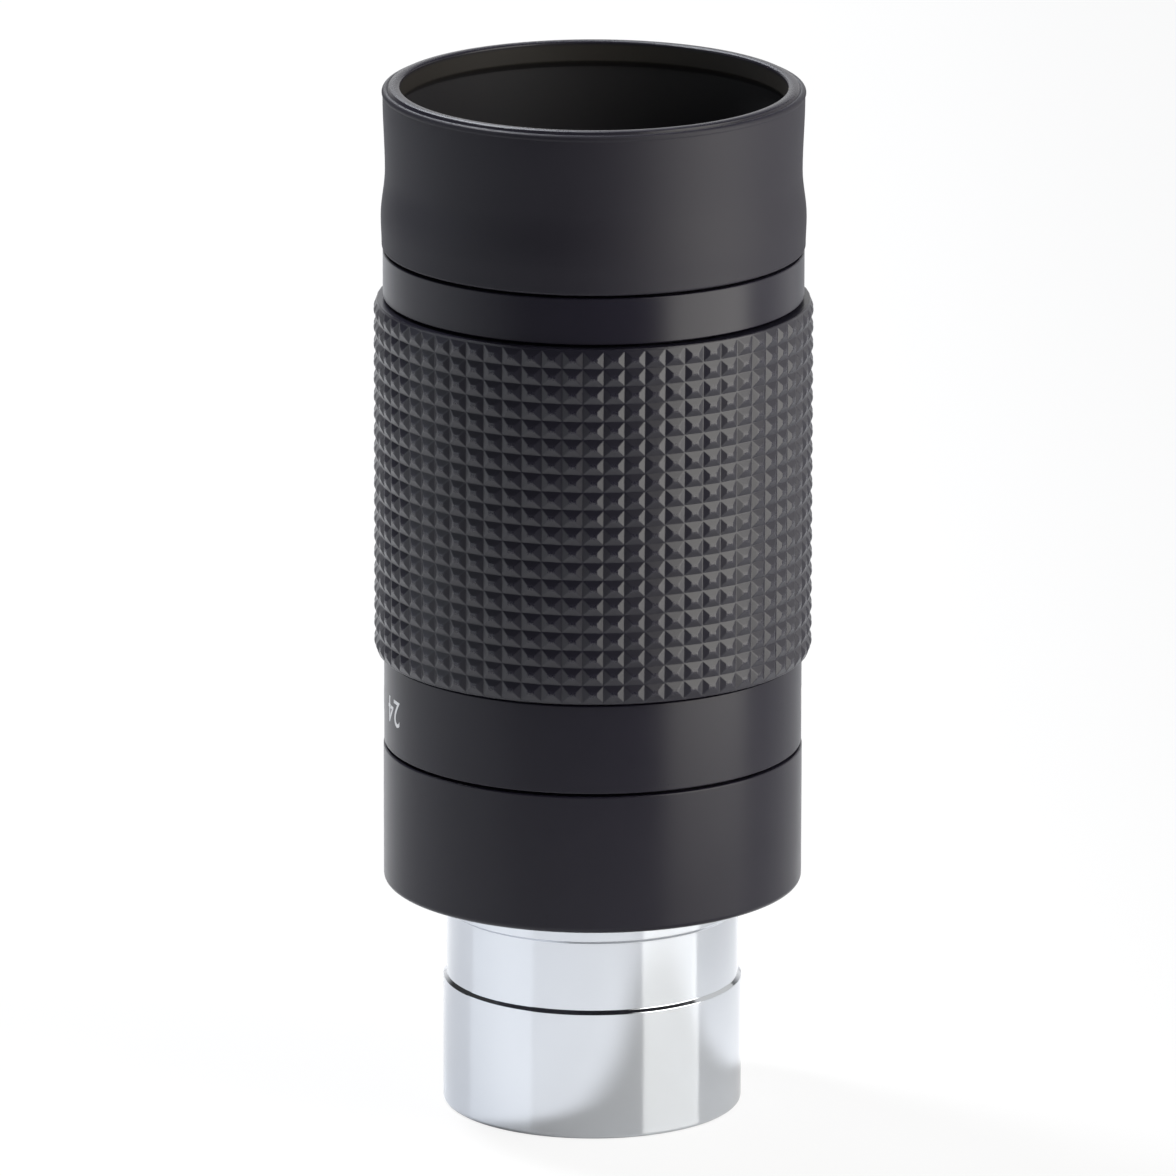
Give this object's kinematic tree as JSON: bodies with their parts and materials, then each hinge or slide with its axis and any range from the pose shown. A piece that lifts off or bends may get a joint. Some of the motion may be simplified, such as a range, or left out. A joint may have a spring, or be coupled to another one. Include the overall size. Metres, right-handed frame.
{
  "type": "zoom telescope eyepiece",
  "caption": "Zoom telescope eyepiece: chrome push-fit barrel, numbered band, studded rubber grip and rubber eyecup. Turning the grip slides the lens carriages inside.",
  "frame": {"origin": "centre of the barrel's lower rim, on the optical axis", "axes": "+Z along the optical axis towards the eye, -Y towards the side seen in front in the picture"},
  "size_m": [0.0464, 0.0464, 0.1108],
  "materials": {
    "chrome": "bright chrome plate",
    "black_satin": "satin black anodised",
    "black_rubber": "matte black rubber",
    "black_inside": "matte black anodised",
    "brass": "machined brass",
    "steel": "ground steel",
    "slip_plastic": "plain slip plastic",
    "coated_glass": "coated optical glass"
  },
  "bodies": {
    "base": {"nosepiece_barrel": "chrome", "lower_housing": "black_satin", "guide_tube": "black_inside", "guide_lock_ring": "black_inside", "thrust_washer": "slip_plastic", "head_retaining_ring": "brass"},
    "zoom_head": {"zoom_barrel": "black_satin", "grip_sleeve": "black_rubber", "top_ring": "black_satin", "eyecup": "black_rubber", "cam_sleeve": "brass", "cam_screw_1": "steel", "cam_screw_2": "steel", "cam_screw_3": "steel", "eye_lens_cell": "black_inside", "eye_lens": "coated_glass", "eye_spacer": "black_inside", "eye_doublet_crown": "coated_glass", "eye_doublet_flint": "coated_glass", "eye_retaining_ring": "black_inside"},
    "upper_carriage": {"upper_carriage_tube": "black_inside", "upper_crown_lens": "coated_glass", "upper_flint_lens": "coated_glass", "upper_retaining_ring": "black_inside", "field_stop": "black_inside", "upper_pin_front": "steel", "upper_pin_back": "steel", "upper_bush_front": "brass", "upper_bush_back": "brass"},
    "lower_carriage": {"lower_carriage_tube": "black_inside", "field_crown_lens": "coated_glass", "field_flint_lens": "coated_glass", "field_retaining_ring": "black_inside", "lower_pin_right": "steel", "lower_pin_left": "steel", "lower_bush_right": "brass", "lower_bush_left": "brass"}
  },
  "joints": [
    {"name": "zoom_turn", "type": "hinge", "parent": "base", "child": "zoom_head", "pos_m": [0, 0, 0.03975], "axis": [0, 0, 1], "range_deg": [-100, 100]},
    {"name": "upper_slide", "type": "slide", "parent": "base", "child": "upper_carriage", "axis": [0, 0, 1], "range_m": [-0.003, 0.003]},
    {"name": "lower_slide", "type": "slide", "parent": "base", "child": "lower_carriage", "axis": [0, 0, 1], "range_m": [-0.006, 0.006]}
  ],
  "couplings": [
    {"joint": "upper_slide", "follows": "zoom_turn", "m_per_rad": 0.0017188},
    {"joint": "lower_slide", "follows": "zoom_turn", "m_per_rad": -0.0034377}
  ]
}
